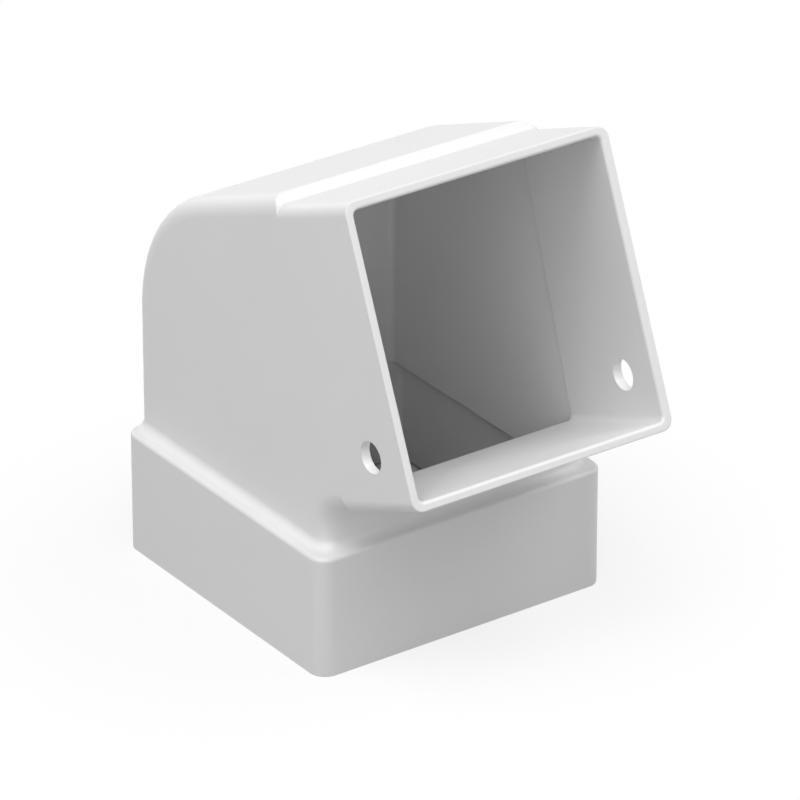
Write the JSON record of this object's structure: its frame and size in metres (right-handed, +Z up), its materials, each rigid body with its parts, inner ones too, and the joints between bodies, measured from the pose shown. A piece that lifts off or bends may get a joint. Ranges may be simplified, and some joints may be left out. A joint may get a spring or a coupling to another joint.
{
  "type": "downspout elbow",
  "caption": "Hollow one-piece bend for a square rainwater downpipe, with a wide square socket at one end and a slanting square spigot with screw holes at the other.",
  "frame": {"origin": "centre of the socket's rim, in the plane that it stands on", "axes": "+Z up along the socket's axis, away from the pipe; the spigot leaves towards -Y and rises 22.5 degrees; X is across the part, which is the same on both sides of X = 0"},
  "size_m": [0.073, 0.101, 0.1092],
  "materials": {
    "upvc": "satin white uPVC"
  },
  "bodies": {
    "root": {"elbow": "upvc"}
  },
  "joints": []
}
